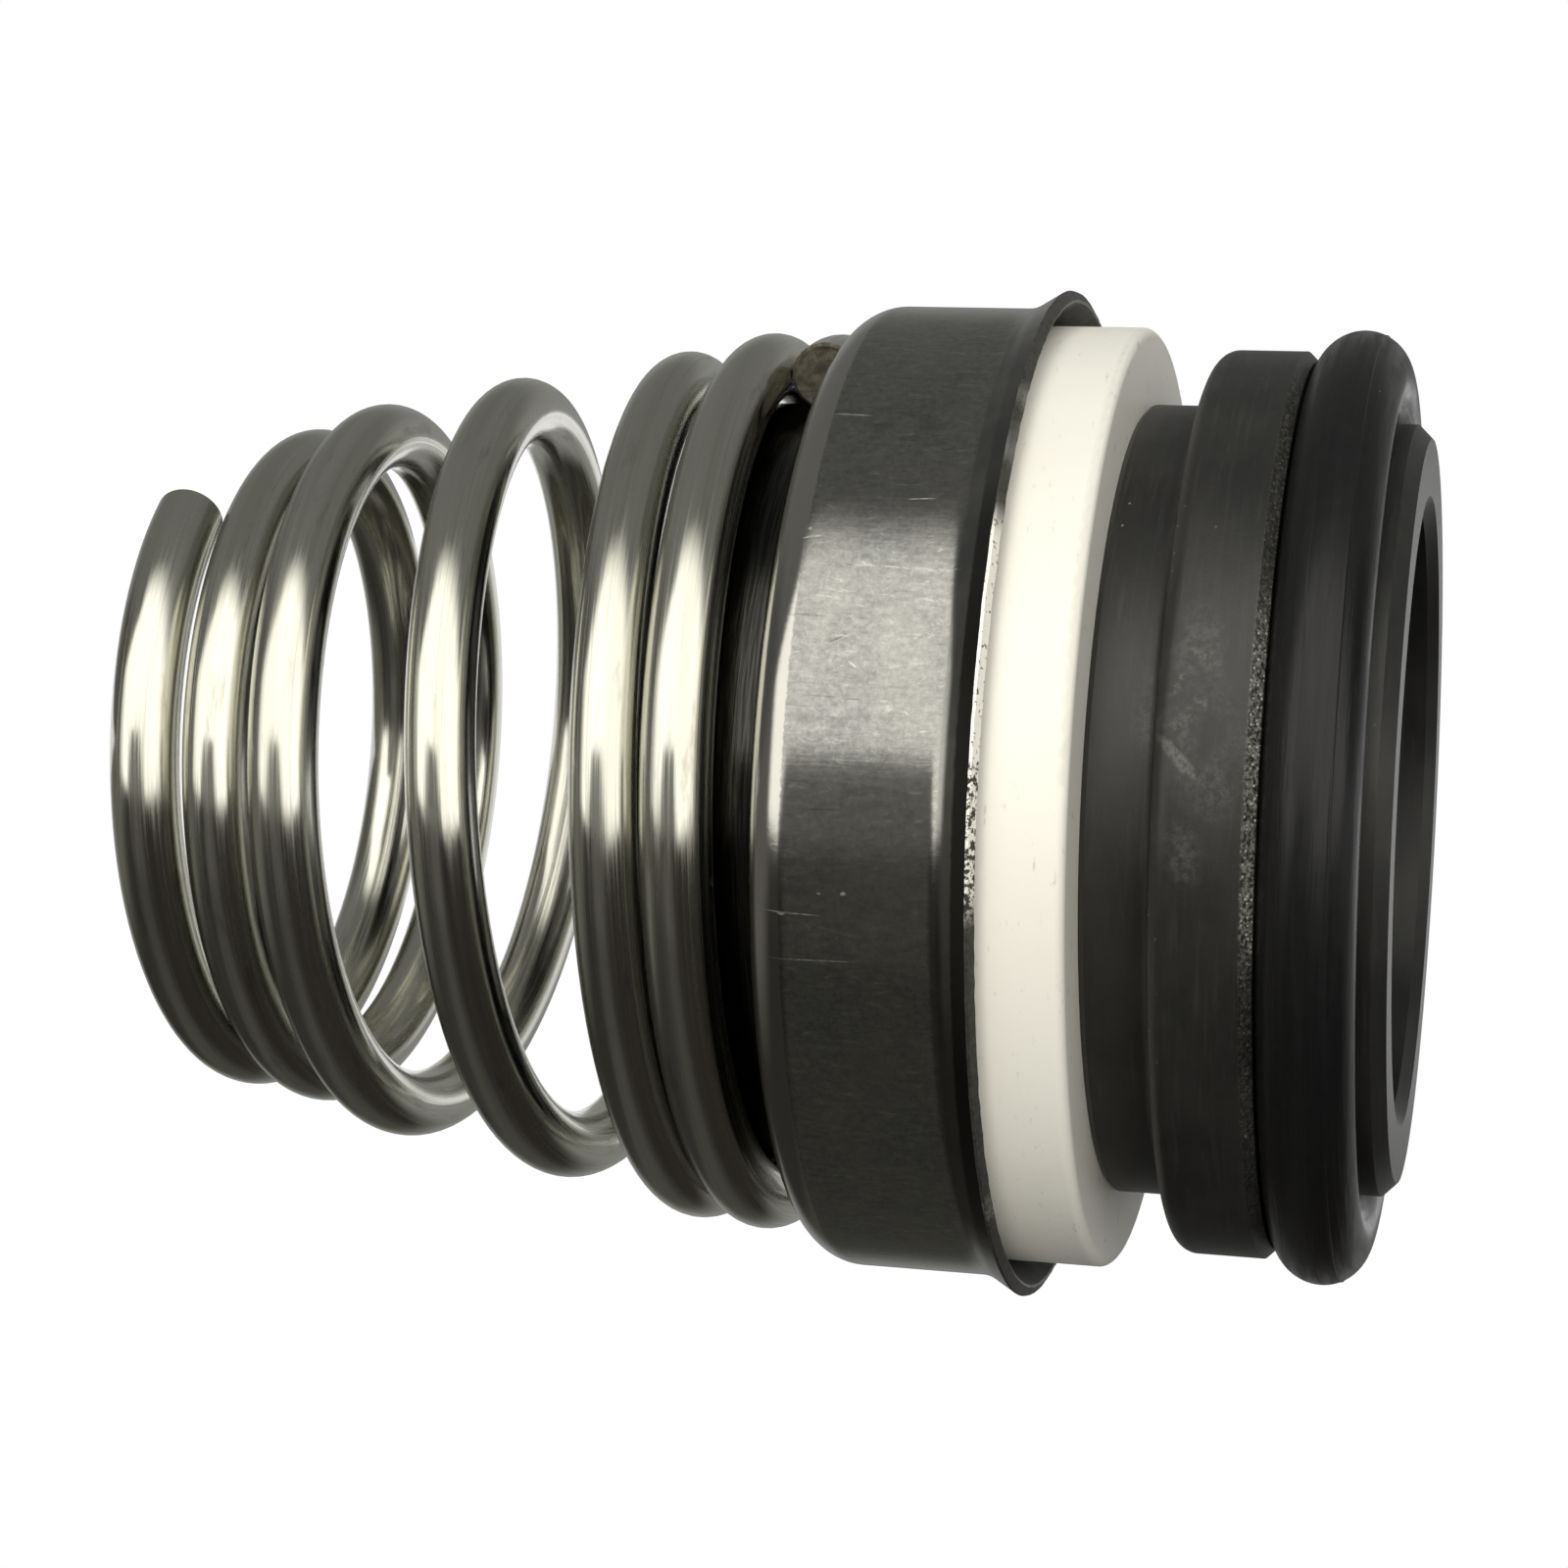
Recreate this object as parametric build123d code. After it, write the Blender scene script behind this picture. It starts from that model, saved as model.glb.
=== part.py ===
from build123d import *
from math import cos, pi, radians, sin, sqrt, tan
import os

# Mechanical shaft seal with one conical spring, all sizes in millimetres.
# The axis is +Z. The seat's flat back is at z = 0 and the spring's small end is at the top.

# Shaft that the seal serves.
shaft_radius = 12.5

# Stationary seat.
seat_bore_gap = 0.75          # radial, between the shaft and the seat's bore
hub_wall = 3.55
hub_tail = 1.0                # stretch of hub that stands out behind the seat's O-ring
flange_thickness = 4.2
nose_step = 2.45              # how far the nose is set in from the flange
nose_length = 3.0
seat_back_chamfer = 0.6
flange_front_round = 0.9
flange_back_chamfer = 0.45
nose_root_round = 0.5
nose_edge_chamfer = 0.25
bore_chamfer = 0.5
housing_gap = 0.15            # radial, between the flange and the housing's bore

# O-ring on the seat's hub.
seat_ring_section = 4.0
seat_ring_squeeze = 0.8       # how far the free O-ring stands past the housing's bore
seat_ring_gap = 0.02          # between the O-ring and the hub it is stretched on

# Rotary face ring.
face_bore_gap = 0.6           # radial, between the shaft and the ring's bore
face_thickness = 11.5
face_standout = 3.4           # how far the ring stands out of the shell's rim
face_edge_round = 0.45

# Drawn sheet shell that carries the face ring.
sheet = 0.6
face_side_gap = 0.15          # radial, between the ring and the shell
face_back_gap = 0.1           # between the ring's back and the underside of the spring's seat
shoulder_width = 4.4          # radial, from the shell's side in to the neck's side
crown_inset = 1.35            # radial, from the shell's side in to the shoulder's crown
crown_rise = 0.58             # how far the crown stands past the seat of the spring's first turn
crown_round = 0.7             # outside radius of the crown
crown_outer_slope = 35        # degrees, where the shoulder's big bend meets the crown
crown_inner_slope = 50        # degrees, from the crown down to the seat
crown_foot_round = 0.7        # outside radius where that slope meets the seat
bend_straight = 0.03          # straight stretch between the big bend and the crown
shoulder_relief = 0.2         # how far the ring's back chamfer starts short of the big bend
neck_length = 6.3
neck_root_round = 0.9         # inside radius where the neck leaves the shoulder
neck_end_round = 1.8          # outside radius of the neck's turned-in end
lip_gap = 0.7                 # radial, between the shaft and the neck's lip
flare_reach = 0.9             # how far the rim is flared past the shell's side
flare_height = 1.5
flare_round = 2.0

# O-ring on the shaft, in the shell's neck.
shaft_ring_section = 4.0
shaft_ring_grip = 0.2         # how far the free O-ring is smaller than the shaft
shaft_ring_gap = 0.2          # radial, between the O-ring and the neck
shaft_ring_seat_gap = 0.05    # between the O-ring and the face ring's back

# Conical spring of round wire, wound right-handed, its end turns closed and not ground.
wire = 3.0
spring_grip = 0.1             # how far the small end is smaller than the shaft
spring_neck_gap = 0.12        # between the big turns and the shell's neck and seat
spring_crown_gap = 0.05       # between the first turn and the shoulder's crown
turns = 5.94
start_angle = -18             # degrees, the wire's cut end at the shoulder
big_turn_gap = 0.05           # between the big turns, which lie closed
small_turn_gap = 0.45         # between the small turns
open_pitch = 7.9              # rise a turn where the spring works
open_from = 1.855             # turn at which the working stretch starts
open_to = 3.735               # turn at which it ends
pitch_blend = 0.5             # turns over which the rise changes
taper_lead = 0.1              # turns by which the cone starts before the coil is past the neck's side
taper_to = 4.965
taper_blend = 0.4
arcs_a_turn = 12

# Sizes that follow.
seat_bore = shaft_radius + seat_bore_gap
hub_radius = seat_bore + hub_wall
housing_radius = hub_radius + seat_ring_section - seat_ring_squeeze
flange_radius = housing_radius - housing_gap
nose_radius = flange_radius - nose_step
hub_length = hub_tail + seat_ring_section
flange_top = hub_length + flange_thickness
seat_height = flange_top + nose_length

face_bore = shaft_radius + face_bore_gap
face_back = seat_height + face_thickness

rim_height = seat_height + face_standout
seat_top = face_back + face_back_gap + sheet
neck_inside = shaft_radius - shaft_ring_grip + shaft_ring_section + shaft_ring_gap
neck_radius = neck_inside + sheet
neck_top = seat_top + neck_length
lip_radius = shaft_radius + lip_gap
shell_radius = neck_radius + shoulder_width
face_radius = shell_radius - sheet - face_side_gap

# The shoulder's bends, along the middle of the sheet.
shell_side = shell_radius - sheet / 2
crown_radius = shell_radius - crown_inset
crown_height = seat_top + crown_rise - crown_round
crown_bend = crown_round - sheet / 2
outer_slope = radians(crown_outer_slope)
inner_slope = radians(crown_inner_slope)
crown_start = crown_radius + crown_bend * sin(outer_slope)
crown_start_height = crown_height + crown_bend * cos(outer_slope)
crown_reach = crown_bend * tan((outer_slope + inner_slope) / 2)
crown_corner = crown_start - crown_reach * cos(outer_slope)
crown_corner_height = crown_start_height + crown_reach * sin(outer_slope)
foot_corner_height = seat_top - sheet / 2
foot_corner = crown_corner - (crown_corner_height - foot_corner_height) / tan(inner_slope)
bend_corner_height = crown_start_height - (shell_side - crown_start) * tan(outer_slope)
bend_reach = (shell_side - crown_start) / cos(outer_slope) - bend_straight
shoulder_bend = bend_reach / tan((pi / 2 - outer_slope) / 2)
face_back_chamfer = face_back - (bend_corner_height - bend_reach) + shoulder_relief

big_pitch = wire + big_turn_gap
small_pitch = wire + small_turn_gap
big_coil = neck_radius + spring_neck_gap + wire / 2
small_coil = shaft_radius - spring_grip + wire / 2
crown_touch = crown_round + wire / 2 + spring_crown_gap
crown_clear = crown_height + sqrt(crown_touch**2 - (big_coil - crown_radius) ** 2)
first_turn_height = max(seat_top + spring_neck_gap + wire / 2, crown_clear)
taper_from = (neck_length - neck_end_round) / big_pitch - taper_lead


def turned(points, *rounded):
    """The solid that a closed profile of radius and height sweeps about the axis.

    Each of rounded is a corner's radius and height, with the size of its fillet or chamfer.
    """
    profile = make_face(Polyline(*points, close=True))
    for corner, size, cut in rounded:
        near = profile.vertices().sort_by_distance((corner[0], corner[1], 0))[0]
        profile = cut(near, size)
    return revolve(Plane.XZ * profile, Axis.Z)


def seat_ring():
    """The stationary seat: hub, flange and nose, turned and lapped from one piece."""
    outline = [
        (seat_bore, 0),
        (hub_radius, 0),
        (hub_radius, hub_length),
        (flange_radius, hub_length),
        (flange_radius, flange_top),
        (nose_radius, flange_top),
        (nose_radius, seat_height),
        (seat_bore, seat_height),
    ]
    return turned(
        outline,
        ((seat_bore, 0), bore_chamfer, chamfer),
        ((hub_radius, 0), seat_back_chamfer, chamfer),
        ((flange_radius, hub_length), flange_back_chamfer, chamfer),
        ((flange_radius, flange_top), flange_front_round, fillet),
        ((nose_radius, flange_top), nose_root_round, fillet),
        ((nose_radius, seat_height), nose_edge_chamfer, chamfer),
    )


def seat_o_ring():
    """The O-ring stretched on the seat's hub, against the flange's back."""
    section = seat_ring_section / 2
    middle = hub_radius + seat_ring_gap + section
    height = hub_length - seat_ring_gap - section
    return Pos(0, 0, height) * Torus(middle, section)


def rotary_face_ring():
    """The rotary face ring: a plain lapped ring, its back corner cut off to clear the shoulder."""
    outline = [
        (face_bore, seat_height),
        (face_radius, seat_height),
        (face_radius, face_back),
        (face_bore, face_back),
    ]
    return turned(
        outline,
        ((face_bore, seat_height), bore_chamfer, chamfer),
        ((face_radius, seat_height), face_edge_round, fillet),
        ((face_radius, face_back), face_back_chamfer, chamfer),
        ((face_bore, face_back), bore_chamfer, chamfer),
    )


def retainer_shell():
    """The shell: one drawn sheet, from the flared rim over the crowned shoulder to the lip."""
    half = sheet / 2
    neck = neck_radius - half
    foot_bend = crown_foot_round + half
    root_bend = neck_root_round + half
    end_bend = neck_end_round - half
    path = FilletPolyline(
        (shell_side + flare_reach, rim_height),
        (shell_side, rim_height + flare_height),
        (shell_side, bend_corner_height),
        (crown_corner, crown_corner_height),
        (foot_corner, foot_corner_height),
        (neck, foot_corner_height),
        (neck, neck_top - half),
        (lip_radius, neck_top - half),
        radius=[flare_round, shoulder_bend, crown_bend, foot_bend, root_bend, end_bend],
    )
    return revolve(Plane.XZ * trace(path, line_width=sheet), Axis.Z)


def shaft_o_ring():
    """The O-ring that seals on the shaft, in the neck behind the face ring."""
    section = shaft_ring_section / 2
    middle = shaft_radius - shaft_ring_grip + section
    height = face_back + shaft_ring_seat_gap + section
    return Pos(0, 0, height) * Torus(middle, section)


def ramp(turn, middle, width):
    """How much of a soft step about middle lies before turn, in turns."""
    share = min(max((turn - middle) / width + 0.5, 0.0), 1.0)
    past = max(turn - middle - width / 2, 0.0)
    return width * (share**3 - share**4 / 2) + past


def coil_height(turn):
    """Height of the wire's centre after so many turns."""
    rise = big_pitch * turn
    rise += (open_pitch - big_pitch) * ramp(turn, open_from, pitch_blend)
    rise -= (open_pitch - small_pitch) * ramp(turn, open_to, pitch_blend)
    return first_turn_height + rise


def coil_radius(turn):
    """Radius of the wire's centre after so many turns."""
    taper = (big_coil - small_coil) / (taper_to - taper_from)
    fall = ramp(turn, taper_from, taper_blend) - ramp(turn, taper_to, taper_blend)
    return big_coil - taper * fall


def coil_point(turn):
    """The wire's centre after so many turns."""
    angle = radians(start_angle) + 2 * pi * turn
    radius = coil_radius(turn)
    return (radius * cos(angle), radius * sin(angle), coil_height(turn))


def wire_path():
    """The wire's centreline: arcs in a chain, each tangent to the one before."""
    steps = round(turns * arcs_a_turn)
    points = [coil_point(turns * step / steps) for step in range(steps + 1)]
    start = radians(start_angle)
    heading = Vector(-big_coil * sin(start), big_coil * cos(start), big_pitch / (2 * pi))
    arcs = []
    for here, there in zip(points, points[1:]):
        arcs.append(TangentArc(here, there, tangent=heading))
        heading = arcs[-1] % 1
    return Wire(arcs)


def conical_spring():
    """The spring: round wire swept along a coil whose radius and pitch change."""
    path = wire_path()
    section = Plane(path @ 0, z_dir=path % 0) * Circle(wire / 2)
    return sweep(section, path=path)


parts = {
    "seat_ring": seat_ring,
    "seat_o_ring": seat_o_ring,
    "rotary_face_ring": rotary_face_ring,
    "retainer_shell": retainer_shell,
    "shaft_o_ring": shaft_o_ring,
    "conical_spring": conical_spring,
}

os.makedirs("parts", exist_ok=True)
for name, make in parts.items():
    export_step(make(), f"parts/{name}.step")
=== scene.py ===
import bpy
from math import atan2, cos, exp, pi, radians, sin, tan
from mathutils import Matrix, Vector, noise


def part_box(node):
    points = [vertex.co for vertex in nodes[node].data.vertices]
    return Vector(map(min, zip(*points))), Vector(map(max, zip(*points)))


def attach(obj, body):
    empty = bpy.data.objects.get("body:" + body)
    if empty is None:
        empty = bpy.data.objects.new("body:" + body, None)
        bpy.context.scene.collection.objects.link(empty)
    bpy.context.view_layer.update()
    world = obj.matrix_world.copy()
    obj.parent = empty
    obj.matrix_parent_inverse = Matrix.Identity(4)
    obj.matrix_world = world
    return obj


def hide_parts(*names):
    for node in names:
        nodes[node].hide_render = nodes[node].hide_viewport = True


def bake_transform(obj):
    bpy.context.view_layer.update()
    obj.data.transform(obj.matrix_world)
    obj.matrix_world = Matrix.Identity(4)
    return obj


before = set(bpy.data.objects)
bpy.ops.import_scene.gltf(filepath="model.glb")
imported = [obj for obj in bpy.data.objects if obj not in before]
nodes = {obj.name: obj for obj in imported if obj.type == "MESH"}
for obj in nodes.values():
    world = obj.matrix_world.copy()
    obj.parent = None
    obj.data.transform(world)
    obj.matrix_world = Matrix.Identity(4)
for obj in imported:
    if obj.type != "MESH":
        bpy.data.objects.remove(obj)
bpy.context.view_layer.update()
mm = 0.001


# Small helpers for node trees and meshes.

class Link:
    # One output socket. Arithmetic on it adds Math nodes.
    def __init__(self, tree, socket):
        self.tree = tree
        self.socket = socket

    def math(self, operation, *others):
        return self.tree.add("ShaderNodeMath", {"operation": operation}, [self, *others])

    def distanceTo(self, value):
        return (self - value).math("ABSOLUTE")

    def __add__(self, other):
        return self.math("ADD", other)

    def __sub__(self, other):
        return self.math("SUBTRACT", other)

    def __rsub__(self, other):
        return self.tree.add("ShaderNodeMath", {"operation": "SUBTRACT"}, [other, self])

    def __mul__(self, other):
        return self.math("MULTIPLY", other)

    def __truediv__(self, other):
        return self.math("DIVIDE", other)

    __radd__ = __add__
    __rmul__ = __mul__


class NodeTree:
    # The nodes of one material or of the world.
    def __init__(self, owner):
        owner.use_nodes = True
        self.owner = owner
        self.nodes = owner.node_tree.nodes
        self.links = owner.node_tree.links
        self.nodes.clear()

    def add(self, kind, settings=None, inputs=None, output=0):
        node = self.nodes.new(kind)
        for name, value in (settings or {}).items():
            setattr(node, name, value)
        pairs = inputs.items() if isinstance(inputs, dict) else enumerate(inputs or [])
        for key, value in pairs:
            if isinstance(value, Link):
                self.links.new(value.socket, node.inputs[key])
            else:
                node.inputs[key].default_value = value
        return Link(self, node.outputs[output]) if node.outputs else node

    def split(self, vector):
        xyz = self.add("ShaderNodeSeparateXYZ", {}, [vector]).socket.node
        return [Link(self, output) for output in xyz.outputs]

    def vector(self, operation, *values, output=0):
        return self.add("ShaderNodeVectorMath", {"operation": operation}, values, output)

    def ray(self, kind):
        return self.add("ShaderNodeLightPath", output="Is " + kind + " Ray")

    def where(self):
        return self.add("ShaderNodeTexCoord", output="Object")

    def place(self, x, y, z):
        # Where a point lies on its piece, in millimetres times x, y and z.
        return self.vector("MULTIPLY", self.where(), (x / mm, y / mm, z / mm))

    def polar(self, radius):
        # How far round a point lies from the front at this radius, its height and its reach, in mm.
        x, y, z = self.split(self.place(1, 1, 1))
        angle = x.math("ARCTAN2", y * -1)
        return angle * (radius / mm), z, (x * x + y * y).math("SQRT")

    def noise(self, place, detail=4, roughness=0.6, distortion=0):
        inputs = {"Vector": place, "Scale": 1, "Detail": detail,
                  "Roughness": roughness, "Distortion": distortion}
        return self.add("ShaderNodeTexNoise", {}, inputs)

    def grain(self, across, along, *settings):
        # Noise on a piece, with its waves to a millimetre across the axis and along it, and for
        # some its detail, roughness and distortion.
        return self.noise(self.place(across, across, along), *settings)

    def specks(self, place, spacing, size, share):
        # Small dots on some cells of a Voronoi pattern, for a place in millimetres.
        cells = {"Vector": place, "Scale": 1 / spacing}
        near = self.add("ShaderNodeTexVoronoi", {}, cells) * spacing
        chance = self.split(self.add("ShaderNodeTexVoronoi", {}, cells, "Color"))[0]
        return self.step(near, size, size * 0.4) * self.step(chance, share, share * 0.9)

    def marks(self, arc, height, radius, spots, core=0.2):
        # Oval marks, each with its azimuth in degrees, its height, length and width in millimetres,
        # and for some a slant in degrees. core says how much of each is at full strength, up to 1.
        total = None
        for azimuth, middle, length, width, *slant in spots:
            around = arc - radians(azimuth) * radius / mm
            along = height - middle
            if slant:
                s, c = sin(radians(slant[0])), cos(radians(slant[0]))
                around, along = around * c - along * s, around * s + along * c
            off, along = around * (2 / width), along * (2 / length)
            mark = self.step(off * off + along * along, 1, core)
            total = total.math("MAXIMUM", mark) if total else mark
        return total

    def step(self, value, low, high, to=(0, 1)):
        settings = {"interpolation_type": "SMOOTHSTEP"}
        return self.add("ShaderNodeMapRange", settings, [value, low, high, *to])

    def mix(self, factor, *colours):
        # A Mix node takes colours at sockets 6 and 7 and gives the mixed one at output 2.
        first, second = (c if isinstance(c, Link) else (*c, 1) for c in colours)
        inputs = {0: factor, 6: first, 7: second}
        return self.add("ShaderNodeMix", {"data_type": "RGBA"}, inputs, 2)

    def bump(self, height, distance, strength, normal=None):
        inputs = {"Strength": strength, "Distance": distance, "Height": height}
        if normal:
            inputs["Normal"] = normal
        return self.add("ShaderNodeBump", {}, inputs)

    def emission(self, colour):
        return self.add("ShaderNodeEmission", {}, {"Color": colour, "Strength": 1})

    def surface(self, **sockets):
        names = {name.replace("_", " "): value for name, value in sockets.items()}
        return self.output(self.add("ShaderNodeBsdfPrincipled", {}, names))

    def output(self, shader):
        self.add("ShaderNodeOutputMaterial", {}, {"Surface": shader})
        return self.owner


def newFinish(name):
    return NodeTree(bpy.data.materials.new(name))


def newPiece(name, verts, faces, materials):
    mesh = bpy.data.meshes.new(name)
    mesh.from_pydata(verts, [], faces)
    for material in materials:
        mesh.materials.append(material)
    mesh.update()
    return addObject(name, mesh)


def addObject(name, data):
    thing = bpy.data.objects.new(name, data)
    bpy.context.scene.collection.objects.link(thing)
    return thing


# The camera.

camera = {
    "place": (1.62 * mm, -156.27 * mm, -8.93 * mm),
    "aim": (-0.14 * mm, 0, 28.44 * mm),
    "up": (1, 0, 0.047),        # the camera lies on its side, with +X up in its view
    "lens": 81,
    "sensor": 36,
    "nearest": 0.01,
    "farthest": 20,
}


def makeCamera(spec):
    data = bpy.data.cameras.new("camera")
    data.lens = spec["lens"]
    data.sensor_width = spec["sensor"]
    data.clip_start = spec["nearest"]
    data.clip_end = spec["farthest"]
    ahead = (Vector(spec["aim"]) - Vector(spec["place"])).normalized()
    right = ahead.cross(Vector(spec["up"])).normalized()
    turn = Matrix((right, right.cross(ahead), -ahead)).transposed()
    eye = addObject("camera", data)
    eye.matrix_world = Matrix.Translation(spec["place"]) @ turn.to_4x4()
    bpy.context.scene.camera = eye


makeCamera(camera)
print("camera placed")


# The conical spring.

spring = {
    "wire": 3.0 * mm,
    "bigCoil": 18.72 * mm,      # radius of the wire's centre line in the big turns
    "smallCoil": 13.9 * mm,
    "firstTurn": 26.02 * mm,    # height of the centre line where the wire starts
    "turns": 5.94,
    "startAngle": radians(-18),
    "closedPitch": 3.05 * mm,
    "smallPitch": 3.45 * mm,
    "openPitch": 7.9 * mm,
    "openFrom": 1.855,          # turns, where the open pitch starts and ends
    "openTo": 3.735,
    "pitchBlend": 0.5,
    "taperFrom": 1.375,         # turns, where the cone starts and ends
    "taperTo": 4.965,
    "taperBlend": 0.4,
    "stepsATurn": 120,
    "sides": 48,
    "headingStep": 0.001,       # turns to each side of a point that its heading is taken over
    "endBreak": 0.14 * mm,      # edge break round each sheared end
    "endRings": 7,              # rings of faces across each sheared end
    "endRough": 0.05 * mm,      # depth of its torn surface
    "endWaves": 1.1,            # waves of that surface to a millimetre
    "sharpAngle": radians(35),
    "steel": ((0.56, 0.555, 0.49), (0.66, 0.655, 0.59)),
    "stain": (0.30, 0.27, 0.22),
    "drawLine": (0.33, 0.31, 0.27),
    "nick": (0.22, 0.2, 0.17),
    "nicks": (1.9, 0.09, 0.1),  # spacing and size in millimetres, and the share of places with one
    "roughness": 0.13,
    "lineDepth": 0.012 * mm,
    "cutSteel": ((0.055, 0.05, 0.036), (0.125, 0.115, 0.088)),
    "cutSmear": (0.03, 0.026, 0.016),
    "cutRoughness": 0.55,
    "cutDepth": 0.06 * mm,
}


def softStep(turn, middle, width):
    # Zero before the middle, one for one past it, and smooth over the width between.
    share = min(max((turn - middle) / width + 0.5, 0), 1)
    past = max(turn - middle - width / 2, 0)
    return width * (share**3 - share**4 / 2) + past


def coilRise(spec, turn):
    # How far the open turns have lifted the wire above closed turns.
    opened = softStep(turn, spec["openFrom"], spec["pitchBlend"])
    closed = softStep(turn, spec["openTo"], spec["pitchBlend"])
    extra = (spec["openPitch"] - spec["closedPitch"]) * opened
    return extra - (spec["openPitch"] - spec["smallPitch"]) * closed


def coilPoint(spec, turn):
    slope = (spec["bigCoil"] - spec["smallCoil"]) / (spec["taperTo"] - spec["taperFrom"])
    fall = softStep(turn, spec["taperFrom"], spec["taperBlend"])
    fall -= softStep(turn, spec["taperTo"], spec["taperBlend"])
    radius = spec["bigCoil"] - slope * fall
    angle = spec["startAngle"] + 2 * pi * turn
    height = spec["firstTurn"] + spec["closedPitch"] * turn + coilRise(spec, turn)
    return Vector((radius * cos(angle), radius * sin(angle), height))


def coilHeading(spec, turn):
    small = spec["headingStep"]
    return (coilPoint(spec, turn + small) - coilPoint(spec, turn - small)).normalized()


def makeSpring(spec, materials):
    verts, places, shares = [], [], []
    count = round(spec["turns"] * spec["stepsATurn"])
    sides = spec["sides"]
    half = spec["wire"] / 2
    broken = half - spec["endBreak"]
    fullRise = coilRise(spec, spec["turns"])
    along = 0.0

    def ring(turn, radius, shift=0.0):
        centre = coilPoint(spec, turn)
        ahead = coilHeading(spec, turn)
        outward = Vector((centre.x, centre.y, 0)).normalized()
        outward = (outward - ahead * outward.dot(ahead)).normalized()
        side = ahead.cross(outward)
        for k in range(sides):
            angle = 2 * pi * k / sides
            way = outward * cos(angle) + side * sin(angle)
            verts.append(centre + way * radius + ahead * shift)
            places.append((half / mm * cos(angle), half / mm * sin(angle), along / mm))
            shares.append(coilRise(spec, turn) / fullRise)

    def endFace(turn, way):
        # A sheared end, closed by smaller and smaller rings with a torn surface.
        ahead = coilHeading(spec, turn) * way
        for k in range(1, spec["endRings"] + 1):
            start = len(verts)
            ring(turn, broken * (1 - k / (spec["endRings"] + 0.5)))
            for i in range(start, len(verts)):
                torn = noise.noise(verts[i] * spec["endWaves"] / mm) * spec["endRough"]
                verts[i] = verts[i] + ahead * (torn - spec["endRough"])

    ring(0, broken)
    previous = coilPoint(spec, 0)
    for step in range(count + 1):
        turn = spec["turns"] * step / count
        along += (coilPoint(spec, turn) - previous).length
        previous = coilPoint(spec, turn)
        ring(turn, half, spec["endBreak"] * ((step == 0) - (step == count)))
    ring(spec["turns"], broken)
    endFace(spec["turns"], 1)
    wireRows = len(verts) // sides
    endFace(0, -1)
    allRows = len(verts) // sides
    faces = []

    def join(row, other):
        for k in range(sides):
            a, b = k, (k + 1) % sides
            faces.append((row * sides + a, row * sides + b, other * sides + b, other * sides + a))

    for row in range(wireRows - 1):
        join(row, row + 1)
    endStart = len(faces) - (spec["endRings"] + 1) * sides      # from here on, faces lie on an end
    join(wireRows, 0)
    for row in range(wireRows, allRows - 1):
        join(row + 1, row)
    faces.append(tuple(range((wireRows - 1) * sides, wireRows * sides)))
    faces.append(tuple(reversed(range((allRows - 1) * sides, allRows * sides))))

    piece = newPiece("springCoil", verts, faces, materials)
    mesh = piece.data
    for polygon in mesh.polygons:
        polygon.use_smooth = True
    for polygon in [*mesh.polygons[:sides], *mesh.polygons[endStart:]]:
        polygon.material_index = 1
    mesh.set_sharp_from_angle(angle=spec["sharpAngle"])
    place = mesh.attributes.new("wirePlace", "FLOAT_VECTOR", "POINT")
    place.data.foreach_set("vector", [n for p in places for n in p])
    return piece, shares


def wireFinish():
    # Drawn wire: fine lines and stains that run along it, and a few nicks.
    t = newFinish("drawnWire")
    place = t.add("ShaderNodeAttribute", {"attribute_name": "wirePlace"}, output="Vector")

    def drawn(across, along, *settings):
        return t.noise(t.vector("MULTIPLY", place, (across, across, along)), *settings)

    streaks = drawn(7, 0.05, 4, 0.65)
    lines = drawn(9, 0.04, 3)
    coarse = drawn(1.2, 0.06, 4, 0.5)
    stain = drawn(1.17, 0.26, 5)
    nicks = t.specks(t.vector("MULTIPLY", place, (1, 1, 0.4)), *spring["nicks"])
    colour = t.mix(t.step(coarse, 0.3, 0.7), *spring["steel"])
    colour = t.mix(t.step(stain, 0.58, 0.72) * 0.45, colour, spring["stain"])
    colour = t.mix(t.step(lines, 0.56, 0.72) * 0.4, colour, spring["drawLine"])
    colour = t.mix(nicks * 0.6, colour, spring["nick"])
    rough = spring["roughness"] + t.step(streaks, 0.38, 0.66) * 0.15 + nicks * 0.2
    bump = t.bump(lines, spring["lineDepth"], 0.35)
    return t.surface(Base_Color=colour, Metallic=1, Roughness=rough, Normal=bump,
                     Anisotropic=0.6, Anisotropic_Rotation=0.25)


def cutFinish():
    t = newFinish("shearedEnd")
    torn = t.grain(2.5, 2.5, 5)
    smear = t.grain(0.72, 3.6, 3)
    colour = t.mix(t.step(torn, 0.35, 0.65), *spring["cutSteel"])
    colour = t.mix(t.step(smear, 0.6, 0.7) * 0.6, colour, spring["cutSmear"])
    bump = t.bump(torn, spring["cutDepth"], 0.6)
    rough = spring["cutRoughness"]
    return t.surface(Base_Color=colour, Metallic=0.5, Roughness=rough, Normal=bump)


springCoil, springShares = makeSpring(spring, [wireFinish(), cutFinish()])
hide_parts("conical_spring")
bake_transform(springCoil)
# Each ring of the wire keeps its round section; each ring's share of the open turns' rise comes
# back in springShares, which nothing here uses.
print("spring made")


# Outlines bent from corners, and what is turned from them.

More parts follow.
